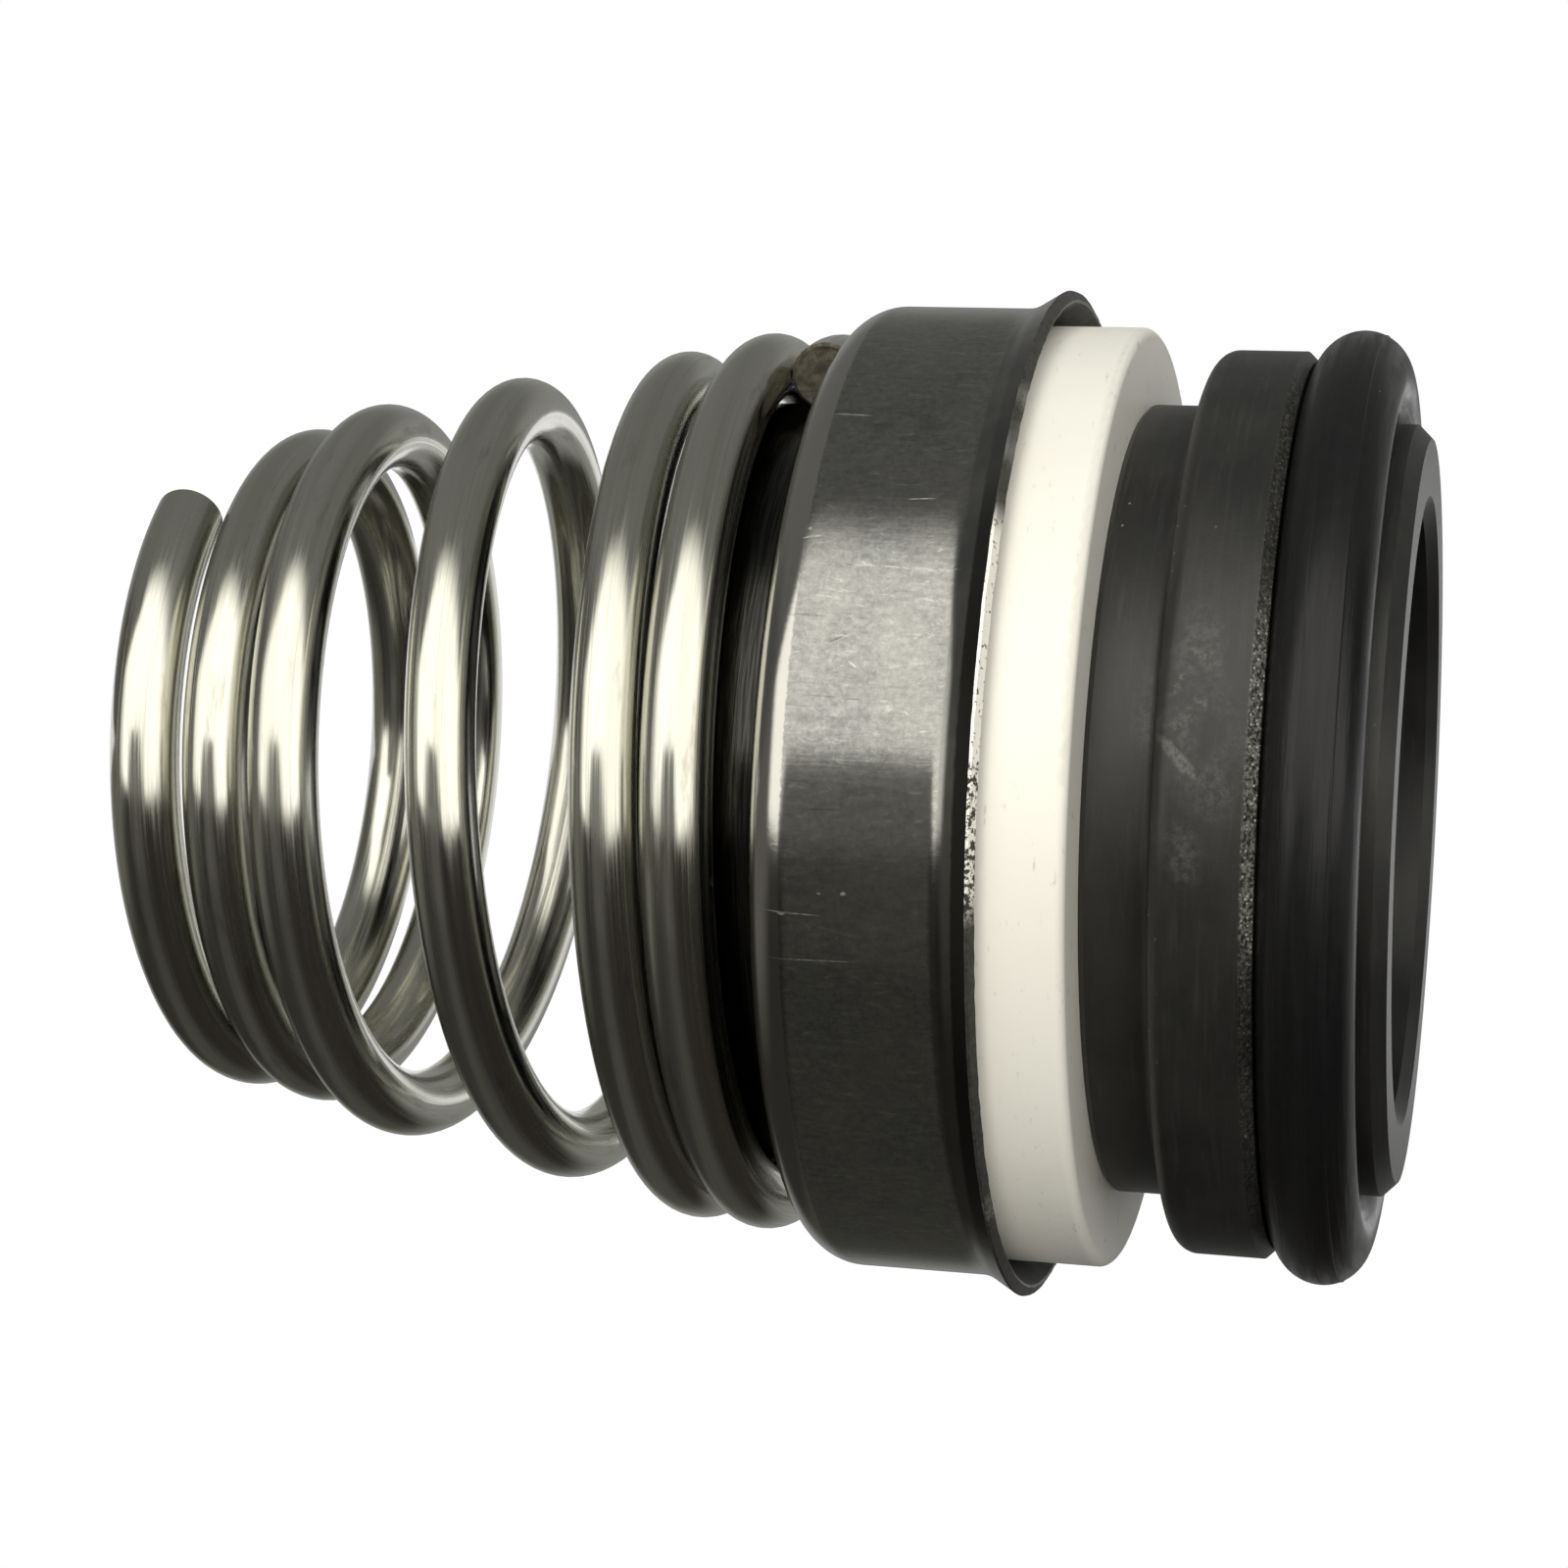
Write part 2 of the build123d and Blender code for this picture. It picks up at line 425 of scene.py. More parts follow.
def bentLine(corners, bends, step=radians(6)):
    # Points and headings along a line whose inner corners are rounded to arcs.
    points = [Vector(corner) for corner in corners]
    headings = [atan2(b.y - a.y, b.x - a.x) for a, b in zip(points, points[1:])]
    line = [(points[0], headings[0])]
    for corner, heading, onward, bend in zip(points[1:], headings, headings[1:], bends):
        turn = (onward - heading + pi) % (2 * pi) - pi
        way = 1 if turn > 0 else -1
        start = corner - Vector((cos(heading), sin(heading))) * bend * tan(abs(turn) / 2)
        centre = start + Vector((-sin(heading), cos(heading))) * bend * way
        count = max(3, round(abs(turn) / step))
        for k in range(count + 1):
            here = heading + turn * k / count
            line.append((centre + Vector((sin(here), -cos(here))) * bend * way, here))
    line.append((points[-1], headings[-1]))
    return line


def stray(place, depth, waves):
    # How far a surface lies under its true place here, up to about the depth, in waves of noise.
    return depth * (0.5 + noise.noise(place * waves))


def turnRound(name, outline, steps, materials, shift, kinds=None, sharp=radians(40)):
    # Turn a closed outline of radius and height about the axis. shift moves its points a little,
    # and kinds says which material each stretch of the outline takes.
    count = len(outline)
    kinds = kinds or [0] * count
    verts, faces, slots = [], [], []
    for k in range(steps):
        angle = 2 * pi * k / steps
        for point in outline:
            radius, height = shift(*point, angle)
            verts.append((radius * cos(angle), radius * sin(angle), height))
    for k in range(steps):
        here, there = k * count, (k + 1) % steps * count
        for i in range(count):
            j = (i + 1) % count
            faces.append((here + i, there + i, there + j, here + j))
            slots.append(kinds[i])
    piece = newPiece(name, verts, faces, materials)
    for face, slot in zip(piece.data.polygons, slots):
        face.use_smooth = True
        face.material_index = slot
    piece.data.set_sharp_from_angle(angle=sharp)
    return piece


# The drawn shell.

shell = {
    "sheet": 0.6 * mm,
    "side": 21.5 * mm,          # outer radius of the side
    "neck": 17.1 * mm,
    "lip": 13.2 * mm,
    "top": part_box("retainer_shell")[1].z,
    "rim": 15.6 * mm,           # height of the rim
    "flareReach": 0.9 * mm,
    "flareHeight": 1.5 * mm,
    "seat": 24.4 * mm,          # top of the seat for the spring's first turn
    "bendCorner": 24.033 * mm,  # height where the side and the shoulder's slope would meet
    "crownCorner": (20.079 * mm, 24.818 * mm),
    "footCorner": 19.477 * mm,
    "bends": [2.0 * mm, 1.9 * mm, 0.4 * mm, 1.0 * mm, 1.2 * mm, 1.5 * mm],
    "edgeBreak": 0.09 * mm,
    "steps": 480,
    # How far the sheet strays: a depth, its waves to a radian, and how high it reaches at the rim.
    "outOfRound": (0.03 * mm, 1.3),
    "flareRipple": (0.02 * mm, 9, 2.2 * mm),
    "raggedRim": (0.035 * mm, 40, 0.5 * mm),
    # Scratches: azimuth in degrees, height, length, width in millimetres and slant in degrees.
    "lightMarks": [
        (45.3, 22.6, 1.9, 0.13, 3), (27.8, 23.1, 1.2, 0.11, -8), (28.8, 23.34, 0.2, 0.2),
        (24.4, 20.2, 7.4, 0.08, 1), (24.6, 20.8, 0.6, 0.2, 20), (-13.4, 22.9, 2.9, 0.07, 2),
        (-13.5, 23.33, 0.4, 0.16), (-18.5, 22.0, 4.8, 0.06, -1), (-11.0, 20.83, 0.3, 0.2),
        (-11.1, 21.8, 0.25, 0.12), (33.0, 19.0, 1.4, 0.07, -4), (110.0, 20.5, 3.2, 0.08, 5),
        (164.0, 19.4, 2.6, 0.07, -9), (-96.0, 21.4, 3.8, 0.07, 4), (-140.0, 18.9, 2.2, 0.08, 12),
        (16.6, 18.2, 0.9, 0.13, -20), (13.2, 20.9, 0.5, 0.12, 35), (8.3, 18.6, 0.7, 0.1, 40),
    ],
    "darkMarks": [
        (18.5, 22.9, 2.2, 0.12, 2), (18.3, 20.9, 1.4, 0.1, -3), (9.6, 21.4, 3.6, 0.1, 3),
        (-2.2, 21.8, 3.2, 0.08, -2), (0.6, 22.6, 1.6, 0.07, 4), (72.0, 20.0, 4.0, 0.08, -3),
        (16.0, 21.6, 1.0, 0.12, -28), (-60.0, 21.0, 2.4, 0.08, 6), (-172.0, 20.2, 3.4, 0.08, -5),
    ],
    "bendStart": 23.4,          # millimetres, where the burnished shoulder begins
    "paintedBandEnd": (16.4, 16.55),  # millimetres, where the dark reflection painted on the flare ends
    "paintedBandGap": (30, 15, 20),    # millimetres round to the middle of the gap where that painted reflection is fainter, and the gap's reach
    "torn": (9, 20),            # middle and reach in degrees of the rim's most torn stretch, whose near-white specks also paint a highlight
    "paintedShadePits": (2, 0.5),         # millimetres round, below which that stretch gets more dark pits, painted shade
    "steel": ((0.185, 0.187, 0.182), (0.25, 0.246, 0.23)),
    "frost": (0.4, 0.395, 0.37),
    "glint": (0.55, 0.545, 0.51),
    "streak": (0.15, 0.15, 0.145),
    "burnished": (0.52, 0.51, 0.475),
    # the colour of the dark reflection painted on the flare
    "paintedDarkBand": (0.075, 0.073, 0.066),
    # the neck's colours are painted dark as the shade under the spring's first turn
    "neckPaintedShade": ((0.022, 0.022, 0.02), (0.052, 0.051, 0.047)),
    "darkMark": (0.07, 0.07, 0.066),
    "lightMark": (0.7, 0.69, 0.65),
    "roughness": 0.175,
    "frostDepth": 0.006 * mm,
    "streakDepth": 0.006 * mm,
    "ribDepth": 0.02 * mm,
    "insideSteel": ((0.06, 0.06, 0.055), (0.11, 0.11, 0.1)),
    "insideRoughness": 0.5,
    "insideDepth": 0.01 * mm,
    "edgeSteel": ((0.022, 0.021, 0.019), (0.055, 0.054, 0.049)),
    # dark and near-white steel of the torn stretch; the near-white also stands for a painted
    # highlight
    "tornSteelAndHighlight": ((0.03, 0.03, 0.027), (0.86, 0.85, 0.79)),
    "edgeRoughness": 0.45,
    "edgeDepth": 0.05 * mm,
}


def shellOutline(spec):
    # The sheet's closed outline, and which of the shell's finishes each stretch of it takes.
    half = spec["sheet"] / 2
    side = spec["side"] - half
    neck = spec["neck"] - half
    floor = spec["seat"] - half
    corners = [
        (side + spec["flareReach"], spec["rim"]),
        (side, spec["rim"] + spec["flareHeight"]),
        (side, spec["bendCorner"]),
        spec["crownCorner"],
        (spec["footCorner"], floor),
        (neck, floor),
        (neck, spec["top"] - half),
        (spec["lip"], spec["top"] - half),
    ]
    line = bentLine(corners, spec["bends"])
    small = spec["edgeBreak"]

    def offset(point, heading, off, on=0.0):
        across = Vector((sin(heading), -cos(heading)))
        along = Vector((cos(heading), sin(heading)))
        return point + across * off + along * on

    def face(off):
        # One face of the sheet, from the rim to the lip, short of the broken edges.
        points = [offset(*at, off) for at in line]
        points[0] = offset(*line[0], off, small)
        points[-1] = offset(*line[-1], off, -small)
        return points

    outer, inner = face(half), face(-half)
    lipEdge = [offset(*line[-1], off) for off in (half - small, small - half)]
    rimEdge = [offset(*line[0], off) for off in (small - half, half - small)]
    outline = outer + lipEdge + inner[::-1] + rimEdge
    outside, inside, edge = 0, 1, 2
    kinds = [outside] * len(outer) + [inside] * (len(inner) + 1) + [edge] * 3
    return [tuple(point) for point in outline], kinds


def shellShift(radius, height, angle):
    # The drawn sheet is a little out of round, its flare ripples and its trimmed rim is ragged.
    around = Vector((cos(angle), sin(angle), 0))

    def nearRim(reach):
        return min(max((shell["rim"] + reach - height) / reach, 0), 1)

    ripple, rippleWaves, flare = shell["flareRipple"]
    ragged, raggedWaves, edge = shell["raggedRim"]
    radius -= stray(around, *shell["outOfRound"]) * min(nearRim(flare) + 0.5, 1)
    radius -= stray(around, ripple, rippleWaves) * nearRim(flare)
    return radius, height + stray(around, ragged, raggedWaves) * nearRim(edge)


def shellFinish():
    # Drawn stainless sheet: frosted with fine flecks, burnished on its bends, with a dark
    # reflection painted on its flare and shade painted on its neck.
    t = newFinish("drawnShell")
    arc, height, reach = t.polar(shell["side"])
    flecks = t.grain(3.6, 4.2, 6, 0.75, 0.35)
    hatch = t.grain(3.6, 1.3, 6, 0.7, 0.5)
    streaks = t.grain(5, 0.4, 5, 0.65)
    cloud = t.grain(0.3, 0.35)
    ribs = t.grain(0.25, 9, 3)
    gaps = t.step(t.grain(3, 3, 3), 0.36, 0.6)

    neck, seatTop = shell["neck"] / mm, shell["seat"] / mm
    flareTop = (shell["rim"] + shell["flareHeight"]) / mm
    bandEnd, bandStart = shell["paintedBandEnd"]
    gapMiddle, gapInner, gapOuter = shell["paintedBandGap"]
    onNeck = t.step(reach, neck + 0.5, neck + 0.2) * t.step(height, seatTop - 0.1, seatTop + 0.2)
    bend = (flecks - 0.5) * 0.2 + (streaks - 0.5) * 0.2 + shell["bendStart"]
    onShoulder = t.step(height - bend, 0, 0.1) * (1 - onNeck)
    onFlare = t.step(height, flareTop + 0.1, flareTop - 0.05)
    # A dark band painted on the flare below 16.4 mm stands in for a dark reflection; it is fainter
    # in a gap round 30 mm.
    paintedDarkBand = t.step(height + (streaks - 0.5) * 0.2, bandStart, bandEnd)
    paintedDarkBand = paintedDarkBand * t.step(arc.distanceTo(gapMiddle), gapInner, gapOuter, (0.35, 1))
    plain = (1 - onShoulder) * (1 - onFlare)
    frosting = flecks * 0.55 + hatch * 0.45
    frost = t.step(frosting, 0.33, 0.68) * plain
    glint = t.step(hatch + (streaks - 0.5) * 0.5, 0.6, 0.72) * plain
    worn = onShoulder * t.step(flecks, 0.22, 0.4)
    light = t.marks(arc, height, shell["side"], shell["lightMarks"])
    dark = t.marks(arc, height, shell["side"], shell["darkMarks"], 0)

    colour = t.mix(t.step(cloud, 0.35, 0.65), *shell["steel"])
    colour = t.mix(frost * 0.8, colour, shell["frost"])
    colour = t.mix(glint * 0.5, colour, shell["glint"])
    colour = t.mix(t.step(streaks, 0.52, 0.78) * 0.4, colour, shell["streak"])
    colour = t.mix(worn * 0.85, colour, shell["burnished"])
    # paints the flare's dark reflection
    colour = t.mix(paintedDarkBand, colour, shell["paintedDarkBand"])
    # The neck's real ribs, in colours painted dark as the shade between the spring and the
    # shoulder.
    ribbedNeckShade = t.mix(t.step(ribs, 0.4, 0.6), *shell["neckPaintedShade"])
    colour = t.mix(onNeck, colour, ribbedNeckShade)
    colour = t.mix(dark * gaps * 0.5, colour, shell["darkMark"])
    colour = t.mix(light * gaps * 0.8, colour, shell["lightMark"])
    rough = shell["roughness"] - frost * 0.02 - worn * 0.04 + light * 0.3 + (streaks - 0.5) * 0.06
    bump = t.bump(frosting, shell["frostDepth"], 0.4)
    bump = t.bump(streaks, shell["streakDepth"], 0.4, bump)
    bump = t.bump(ribs * onNeck, shell["ribDepth"], 0.5, bump)
    return t.surface(Base_Color=colour, Metallic=1, Roughness=rough, Normal=bump)


def insideFinish():
    # The inner side of the sheet, darker and rougher than its outer side.
    t = newFinish("shellInside")
    colour = t.mix(t.step(t.grain(0.5, 0.9), 0.35, 0.65), *shell["insideSteel"])
    bump = t.bump(t.grain(4, 0.5), shell["insideDepth"], 0.5)
    rough = shell["insideRoughness"]
    return t.surface(Base_Color=colour, Metallic=1, Roughness=rough, Normal=bump)


def trimmedFinish():
    # The sheet's sheared edge: plain grey, and torn and speckled along one stretch. There its
    # near-white specks also paint the rim's highlight, and more dark pits low in that stretch paint
    # shade.
    t = newFinish("trimmedEdge")
    arc = t.polar(shell["side"])[0]
    torn = t.grain(4, 4, 4, 0.7)
    patchy = t.grain(0.12, 0.12, 2, 0.5)
    middle, far = (radians(a) * shell["side"] / mm for a in shell["torn"])
    # The torn stretch is real, and its near-white specks also paint the rim's highlight.
    ragged = t.step(arc.distanceTo(middle), far * 1.15, far * 0.9)
    ragged = ragged.math("MAXIMUM", t.step(patchy, 0.62, 0.7) * 0.2)
    # More dark pits low in the stretch are painted shade.
    paintedShadePits = t.step(arc, *shell["paintedShadePits"]) * 0.11
    plain = t.mix(t.step(torn, 0.3, 0.7), *shell["edgeSteel"])
    speckledWithPaintedLight = t.mix(t.step(torn - paintedShadePits, 0.36, 0.42), *shell["tornSteelAndHighlight"])
    colour = t.mix(ragged, plain, speckledWithPaintedLight)
    bump = t.bump(torn, shell["edgeDepth"], 0.7)
    rough = shell["edgeRoughness"]
    return t.surface(Base_Color=colour, Metallic=0.3, Roughness=rough, Normal=bump)


shellPoints, shellKinds = shellOutline(shell)
shellFinishes = [shellFinish(), insideFinish(), trimmedFinish()]
drawnShell = turnRound("drawnShell", shellPoints, shell["steps"], shellFinishes,
                       shellShift, shellKinds)
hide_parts("retainer_shell")
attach(drawnShell, "head")
print("shell made")


# The two ceramic rings.

faceRing = {
    "exposed": (16.4, 15.7),    # millimetres, heights below which it is smeared by the shell's rim
    "nearFace": (13.1, 12.3),   # and smeared again by its lapped face
    "alumina": ((0.83, 0.815, 0.745), (0.85, 0.842, 0.785)),
    "rimSmear": (0.30, 0.30, 0.28),
    "faceSmear": (0.42, 0.41, 0.37),
    "dust": (0.35, 0.33, 0.28),
    "dustSpecks": (2.1, 0.055, 0.1),    # spacing and size in millimetres, and the share with one
    "roughness": 0.36,
    "grainDepth": 0.006 * mm,
}


def aluminaFinish():
    # Ground white ceramic, faintly smeared and dusty where it stands out of the shell.
    t = newFinish("alumina")
    height = t.split(t.place(1, 1, 1))[2]
    smear = t.grain(1.1, 4, 4, 0.65)
    fine = t.grain(7, 7, 3)
    exposed = t.step(height, *faceRing["exposed"])
    nearFace = t.step(height, *faceRing["nearFace"])
    dust = t.specks(t.place(1, 1, 1), *faceRing["dustSpecks"])
    colour = t.mix(t.step(t.grain(0.09, 0.09, 3, 0.5), 0.3, 0.7), *faceRing["alumina"])
    colour = t.mix(exposed * t.step(smear, 0.62, 0.75) * 0.35, colour, faceRing["rimSmear"])
    colour = t.mix(nearFace * t.step(smear, 0.6, 0.75) * 0.35, colour, faceRing["faceSmear"])
    colour = t.mix(dust * 0.55, colour, faceRing["dust"])
    rough = faceRing["roughness"] + fine * 0.14
    bump = t.bump(fine, faceRing["grainDepth"], 0.5)
    return t.surface(Base_Color=colour, Roughness=rough, Normal=bump)


seat = {
    "flange": 19.85 * mm,
    "corner": 9.0,              # millimetres, height of the corner between the flange and the nose
    "chamfer": (5.0, 5.5),      # millimetres, heights of the flange's ground chamfer
    "chipped": (3, 19),         # middle and reach in degrees of the chamfer's roughest stretch
    # Chalky marks: azimuth in degrees, height, length, width in millimetres and slant in degrees.
    "smudge": [(5.3, 8.1, 2.9, 0.62, 46)],
    "specks": [
        (10.6, 7.75, 2.2, 0.6, -38), (9.2, 8.35, 1.6, 0.6, 30), (11.6, 7.3, 0.8, 0.7),
        (14.0, 8.2, 2.6, 0.5, -60), (17.0, 7.4, 1.8, 0.6, 20),
    ],
    "haze": [(8.5, 7.7, 5.0, 9.0, -30), (-6.0, 8.2, 3.0, 4.0), (17.0, 7.8, 3.0, 6.0)],
    "carbide": ((0.007, 0.007, 0.0066), (0.0128, 0.0128, 0.012)),
    "turnedLine": (0.032, 0.032, 0.03),
    "hazeColour": (0.07, 0.07, 0.066),
    "chalk": (0.13, 0.13, 0.12),
    "grit": (0.4, 0.4, 0.37),
    "dust": (0.26, 0.26, 0.24),
    # Specks: spacing and size in millimetres, and the share of places with one.
    "gritSpecks": (0.17, 0.085, 0.4),
    "cornerSpecks": (0.38, 0.06, 0.4),
    "dustSpecks": (1.1, 0.075, 0.2),
    "roughness": 0.34,
    "grainDepth": 0.012 * mm,
    "gritDepth": 0.03 * mm,
    "specular": 0.56,
}


def carbideFinish():
    # Dark carbide: faint turned lines, chalky marks on the flange, a gritty chamfer and dust.
    t = newFinish("seatCarbide")
    arc, height = t.polar(seat["flange"])[:2]
    spot = t.place(1, 1, 1)
    cloud = t.grain(0.22, 0.3, 5)
    turned = t.grain(0.3, 5, 3)
    fine = t.grain(6, 6, 4, 0.65)
    powder = t.grain(3.4, 3.4, 5, 0.8)
    warp = t.grain(1.1, 1.1, 4, 0.7) - 0.5
    bent, raised = arc + warp * 1.1, height + warp * 0.7

    def warped(name):
        return t.marks(bent, raised, seat["flange"], seat[name], 0)

    haze = warped("haze") * t.step(cloud, 0.35, 0.62)
    smudge = warped("smudge") * t.step(powder, 0.3, 0.6)
    specks = warped("specks") * t.step(powder, 0.42, 0.72) * 0.6
    chalk = smudge.math("MAXIMUM", specks)
    middle, far = (radians(a) * seat["flange"] / mm for a in seat["chipped"])
    chipped = t.step(arc.distanceTo(middle), far * 1.3, far * 0.8, (0.12, 1))
    foot, top = seat["chamfer"]
    ground = t.step(height, foot - 0.1, foot) * t.step(height, top + 0.06, top - 0.14) * chipped
    grit = t.specks(spot, *seat["gritSpecks"])
    grit = grit.math("MAXIMUM", t.step(fine, 0.4, 0.68) * 0.5)
    corner = t.step(height.distanceTo(seat["corner"]), 0.45, 0.1) * t.step(cloud, 0.42, 0.55)
    trail = t.specks(spot, *seat["cornerSpecks"]) * corner
    dust = t.specks(spot, *seat["dustSpecks"]).math("MAXIMUM", trail)

    colour = t.mix(t.step(cloud, 0.35, 0.7), *seat["carbide"])
    colour = t.mix(t.step(turned, 0.5, 0.8) * 0.35, colour, seat["turnedLine"])
    colour = t.mix(haze * t.step(powder, 0.36, 0.66) * 0.85, colour, seat["hazeColour"])
    colour = t.mix(chalk * 0.75, colour, seat["chalk"])
    colour = t.mix(ground * grit * 0.9, colour, seat["grit"])
    colour = t.mix(dust * 0.55, colour, seat["dust"])
    rough = seat["roughness"] + fine * 0.14 + chalk * 0.25
    bump = t.bump(fine, seat["grainDepth"], 0.5)
    bump = t.bump(grit * ground, seat["gritDepth"], 0.6, bump)
    return t.surface(Base_Color=colour, Roughness=rough, Normal=bump,
                     Specular_IOR_Level=seat["specular"])


for name, material in (("rotary_face_ring", aluminaFinish()), ("seat_ring", carbideFinish())):
    materials = nodes[name].data.materials
    materials.clear()
    materials.append(material)
print("rings finished")


# The two rubber rings.

rubber = {
    "sides": 72,
    "steps": 360,
    "flash": 0.035 * mm,        # height of the mould's parting line
    "flashWidth": 0.05 * mm,
    "flashPoints": 3,           # points to each side of its top
    "uneven": (0.015 * mm, 2.5),    # depth and waves to a radian
    "unevenHeight": 4 * mm,     # as much along the axis as a radian round it
    "seatRoll": radians(-27),   # the seat's ring rolled a little as it was pushed on
    "rubber": ((0.004, 0.004, 0.0044), (0.0068, 0.0068, 0.0072)),
    "dust": (0.14, 0.14, 0.13),
    # Specks: spacing and size in millimetres, and the share of places with one.
    "dustSpecks": (1.7, 0.085, 0.2),
    "lintSpecks": (3.1, 0.06, 0.18),
    "roughness": 0.24,
    "grainDepth": 0.004 * mm,
    "lineDepth": 0.016 * mm,
    "specular": 0.31,
}


def makeRubberRing(name, node, body, material, roll=0.0):
    low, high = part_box(node)
    section = (high.z - low.z) / 2
    middle = high.x - section
    height = (high.z + low.z) / 2
    free = section - rubber["flash"]
    width = rubber["flashWidth"] / free
    seams = [roll % (2 * pi), roll + pi]
    angles = {2 * pi * k / rubber["sides"] for k in range(rubber["sides"])}
    reach = rubber["flashPoints"]
    for seam in seams:
        angles |= {(seam + width * k / 2) % (2 * pi) for k in range(-reach, reach + 1)}
    outline = []
    for angle in sorted(angles):
        off = min(abs((angle - seam + pi) % (2 * pi) - pi) for seam in seams)
        radius = free + rubber["flash"] * exp(-(off / width) ** 2)
        outline.append((middle + radius * cos(angle), height + radius * sin(angle)))

    def shift(radius, level, angle):
        place = Vector((cos(angle), sin(angle), level / rubber["unevenHeight"]))
        return radius - stray(place, *rubber["uneven"]), level

    piece = turnRound(name, outline, rubber["steps"], [material], shift)
    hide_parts(node)
    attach(piece, body)


def rubberFinish():
    # Black rubber with dust, lint, and faint lines round it from the mould.
    t = newFinish("sealRubber")
    grain = t.grain(1.4, 1.4)
    lines = t.step(t.grain(0.15, 3, 3), 0.4, 0.6)
    dust = t.specks(t.place(1, 1, 1), *rubber["dustSpecks"])
    lint = t.specks(t.place(1, 1, 0.25), *rubber["lintSpecks"])
    colour = t.mix(grain, *rubber["rubber"])
    colour = t.mix(dust.math("MAXIMUM", lint) * 0.5, colour, rubber["dust"])
    rough = rubber["roughness"] + grain * 0.1 + lines * 0.1
    bump = t.bump(t.grain(9, 9, 3), rubber["grainDepth"], 0.4)
    bump = t.bump(lines, rubber["lineDepth"], 0.5, bump)
    return t.surface(Base_Color=colour, Roughness=rough, Normal=bump,
                     Specular_IOR_Level=rubber["specular"])


sealRubber = rubberFinish()
makeRubberRing("seatRubberRing", "seat_o_ring", "seat", sealRubber, rubber["seatRoll"])
makeRubberRing("shaftRubberRing", "shaft_o_ring", "head", sealRubber)
print("rubber rings made")


# The floor, the room and its light.

studio = {
    "middle": Vector((0, 0, 28 * mm)),
    "ambient": 0.09,
    "floorRadius": 0.6,         # metres, as all of the studio's sizes are
    "floorSteps": 96,
    "floorColour": (0.55, 0.55, 0.55, 1),
    "floorGlow": (0.5, 1.0),    # what the floor adds for the camera, by the part and farther out
    "glowReach": (0.08, 0.45),
    "footprint": 0.0195,        # radius under the part that the floor leaves open for light
    "footprintEdge": 0.98,
}

# The dome's bands are in degrees. turn goes round from the front towards +X, which the camera sees
# as up, and rise goes up from the ground. Each pair runs from a band's end to where it is full.
dome = {
    "radius": 1.4,
    "reach": 174,               # each way from the front, open behind
    "columns": 60,
    "rows": 30,
    "window": (1.87, 1.84, 1.72),
    "windowStart": (-18, -10),
    "windowEnd": (68, 50),
    "windowFoot": (-88, -80),
    "windowTop": (66, 54),
    "windowDrop": 30,           # how much lower its top lies past windowBend
    "windowBend": (36, 56),
    "camera": 0.91,             # how much the camera's dark shape takes away from the window
    "cameraTurn": (8, 6.2),
    "cameraRise": 9,
    "cameraReach": (24, 16),
    "cameraSlope": 0.5,
    "underTurn": (-112, -130),  # a bright patch low at the back
    "underRise": (-72, -80),
    "below": (0.082, 0.081, 0.071),
    "above": (0.19, 0.19, 0.182),
    "aboveTurn": (20, 80),
    "near": (0.12, 0.117, 0.104),
    "nearTurn": -26,
    "nearReach": (20, 8),
    "deep": (0.034, 0.03, 0.027),
    "deepTurn": (60, 20),
    "deepLow": (8, -12),
    "deepHigh": ((20, 30), (60, 50)),
    "deepHighShare": 0.8,
    "deepFoot": (-50, -68),
    "behind": (0.3, 0.3, 0.29),
    "behindTurn": (140, 160),
    "cap": (0.17, 0.166, 0.146),
    "capFar": (0.115, 0.114, 0.104),
    "capFarTurn": (10, 70),
    "capRise": (56, 70),
}

# Area lamps: the way to each from the part's middle, its distance and size, watts and colour.
lamps = {
    "softbox": {"towards": (0.64, -0.68, -0.16), "distance": 0.5, "size": (0.5, 0.7),
                "watts": 2.2, "colour": (1, 0.99, 0.95)},
    "frontFill": {"towards": (0.17, -0.95, -0.2), "distance": 0.6, "size": (0.5, 0.5),
                  "watts": 4.1, "colour": (1, 0.96, 0.875)},
    "backFill": {"towards": (0.25, 0.9, 0.5), "distance": 0.6, "size": (0.5, 0.5),
                 "watts": 2.2, "colour": (1, 1, 1)},
}


def makeFloor(spec):
    # Pale paper that glows white for the camera. It is clear from below and under the part.
    steps = spec["floorSteps"]
    angles = [2 * pi * k / steps for k in range(steps)]
    rim = [(spec["floorRadius"] * cos(a), spec["floorRadius"] * sin(a), 0) for a in angles]
    t = newFinish("floorPaper")
    seen = t.ray("Camera")
    reach = t.vector("LENGTH", t.where(), output="Value")
    glow = t.step(reach, *spec["glowReach"], spec["floorGlow"]) * seen
    pale = t.add("ShaderNodeBsdfDiffuse", {}, {"Color": spec["floorColour"]})
    lit = t.emission(t.mix(glow, (0, 0, 0), (1, 1, 1)))
    both = t.add("ShaderNodeAddShader", {}, [pale, lit])
    clear = t.add("ShaderNodeBsdfTransparent")
    below = t.add("ShaderNodeNewGeometry", output="Backfacing") * seen
    inner = spec["footprint"] * spec["footprintEdge"]
    inside = t.step(reach, spec["footprint"], inner) * (1 - seen)
    through = below.math("MAXIMUM", inside)
    t.output(t.add("ShaderNodeMixShader", {}, [through, both, clear]))
    floor = newPiece("floor", rim, [tuple(range(steps))], [t.owner])
    floor.visible_glossy = False
    floor.visible_shadow = False    # the lamps reach a little below its level


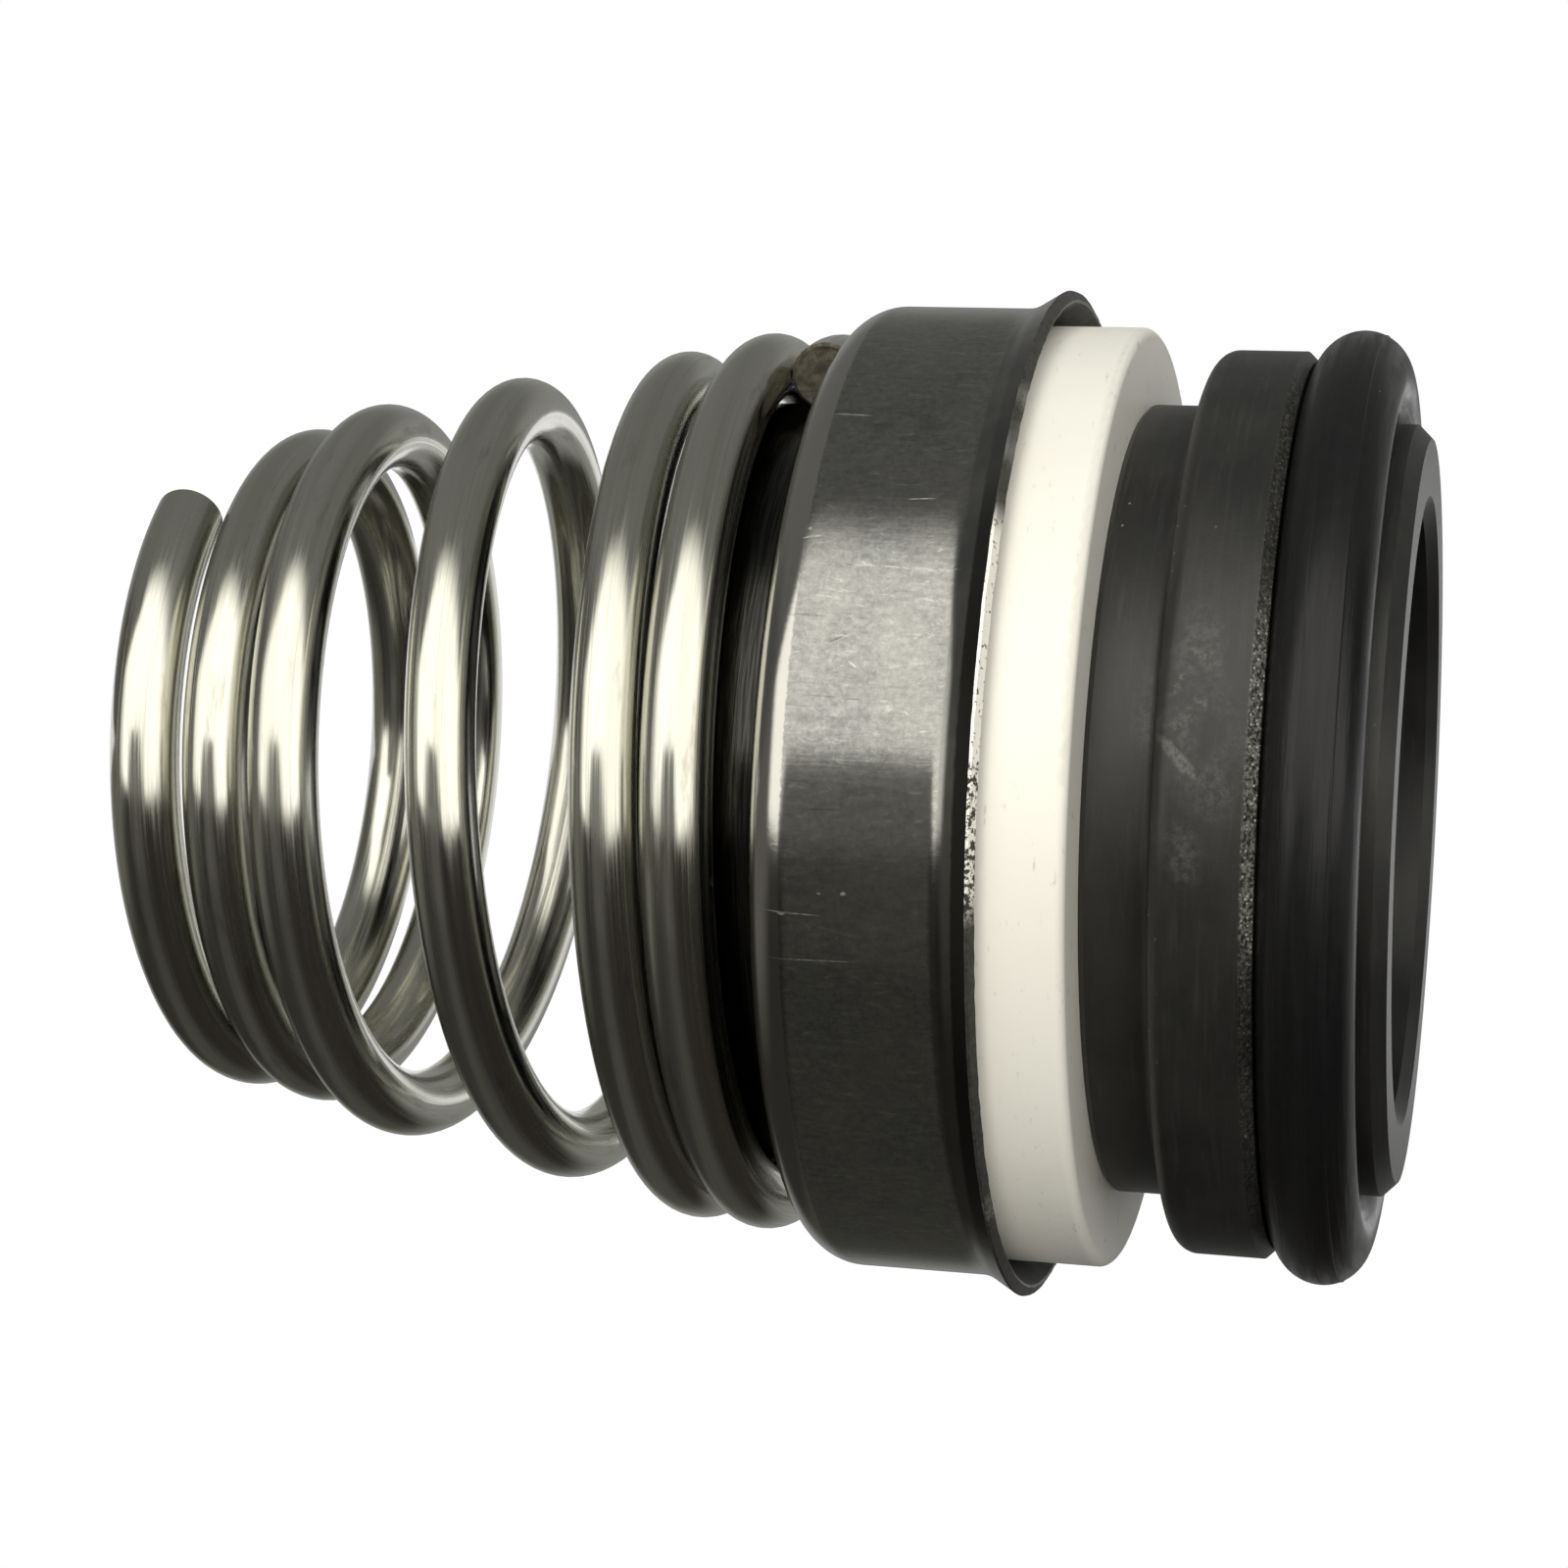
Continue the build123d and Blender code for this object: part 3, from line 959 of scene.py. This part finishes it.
def domeFinish(spec):
    # What polished surfaces mirror: a dim studio with one long soft window.
    t = newFinish("studioDome")
    x, y, z = t.split(t.where())
    turn = x.math("ARCTAN2", y * -1) * (180 / pi)
    rise = (z / spec["radius"]).math("ARCSINE") * (180 / pi)

    window = t.step(turn, *spec["windowStart"]) * t.step(turn, *spec["windowEnd"])
    drop = t.step(turn, *spec["windowBend"]) * spec["windowDrop"]
    window = window * t.step(rise, *spec["windowFoot"]) * t.step(rise + drop, *spec["windowTop"])
    off = rise.distanceTo(spec["cameraRise"]) + turn * spec["cameraSlope"]
    shape = t.step(turn, *spec["cameraTurn"]) * t.step(off, *spec["cameraReach"])
    window = window * (1 - shape * spec["camera"])
    under = t.step(turn, *spec["underTurn"]) * t.step(rise, *spec["underRise"])
    window = window.math("MAXIMUM", under)

    room = t.mix(t.step(turn, *spec["aboveTurn"]), spec["below"], spec["above"])
    near = t.step(turn.distanceTo(spec["nearTurn"]), *spec["nearReach"])
    room = t.mix(near, room, spec["near"])
    start, end = spec["deepHigh"]
    high = t.step(rise, *start) * t.step(rise, *end) * spec["deepHighShare"]
    deep = t.step(rise, *spec["deepLow"]).math("MAXIMUM", high)
    room = t.mix(deep * t.step(turn, *spec["deepTurn"]), room, spec["deep"])
    room = t.mix(t.step(turn.math("ABSOLUTE"), *spec["behindTurn"]), room, spec["behind"])
    room = t.mix(t.step(rise, *spec["deepFoot"]), room, spec["deep"])
    cap = t.mix(t.step(turn, *spec["capFarTurn"]), spec["cap"], spec["capFar"])
    room = t.mix(t.step(rise, *spec["capRise"]), room, cap)
    return t.output(t.emission(t.mix(window, room, spec["window"])))


def makeDome(spec, middle):
    # Only glossy rays see the dome.
    columns, rows = spec["columns"], spec["rows"]
    verts, faces = [], []
    for column in range(columns + 1):
        turn = radians(spec["reach"] * (2 * column / columns - 1))
        for row in range(rows + 1):
            rise = radians(180 * row / rows - 90)
            way = Vector((sin(turn) * cos(rise), -cos(turn) * cos(rise), sin(rise)))
            verts.append(way * spec["radius"])
    for column in range(columns):
        for row in range(rows):
            a = column * (rows + 1) + row
            faces.append((a, a + 1, a + rows + 2, a + rows + 1))
    sphere = newPiece("studioDome", verts, faces, [domeFinish(spec)])
    sphere.location = middle
    for ray in ("camera", "diffuse", "shadow", "transmission", "volume_scatter"):
        setattr(sphere, "visible_" + ray, False)


def makeLamp(name, spec, middle):
    data = bpy.data.lights.new(name, "AREA")
    data.shape = "RECTANGLE"
    data.size, data.size_y = spec["size"]
    data.energy = spec["watts"]
    data.color = spec["colour"]
    lamp = addObject(name, data)
    way = Vector(spec["towards"]).normalized()
    lamp.location = middle + way * spec["distance"]
    lamp.rotation_euler = way.to_track_quat("Z", "Y").to_euler()
    lamp.visible_glossy = False


def makeWorld(spec):
    # White where it is seen or mirrored, and dim as light.
    world = bpy.data.worlds.new("studio")
    bpy.context.scene.world = world
    t = NodeTree(world)
    white = t.ray("Camera").math("MAXIMUM", t.ray("Glossy"))
    white = white.math("MAXIMUM", t.ray("Transmission"))
    glow = t.mix(white, (spec["ambient"],) * 3, (1, 1, 1))
    lit = t.add("ShaderNodeBackground", {}, {"Color": glow, "Strength": 1})
    t.add("ShaderNodeOutputWorld", {}, {"Surface": lit})


makeFloor(studio)
makeDome(dome, studio["middle"])
makeWorld(studio)
for name, spec in lamps.items():
    makeLamp(name, spec, studio["middle"])
bpy.context.scene.view_settings.view_transform = "Standard"
print("studio made")
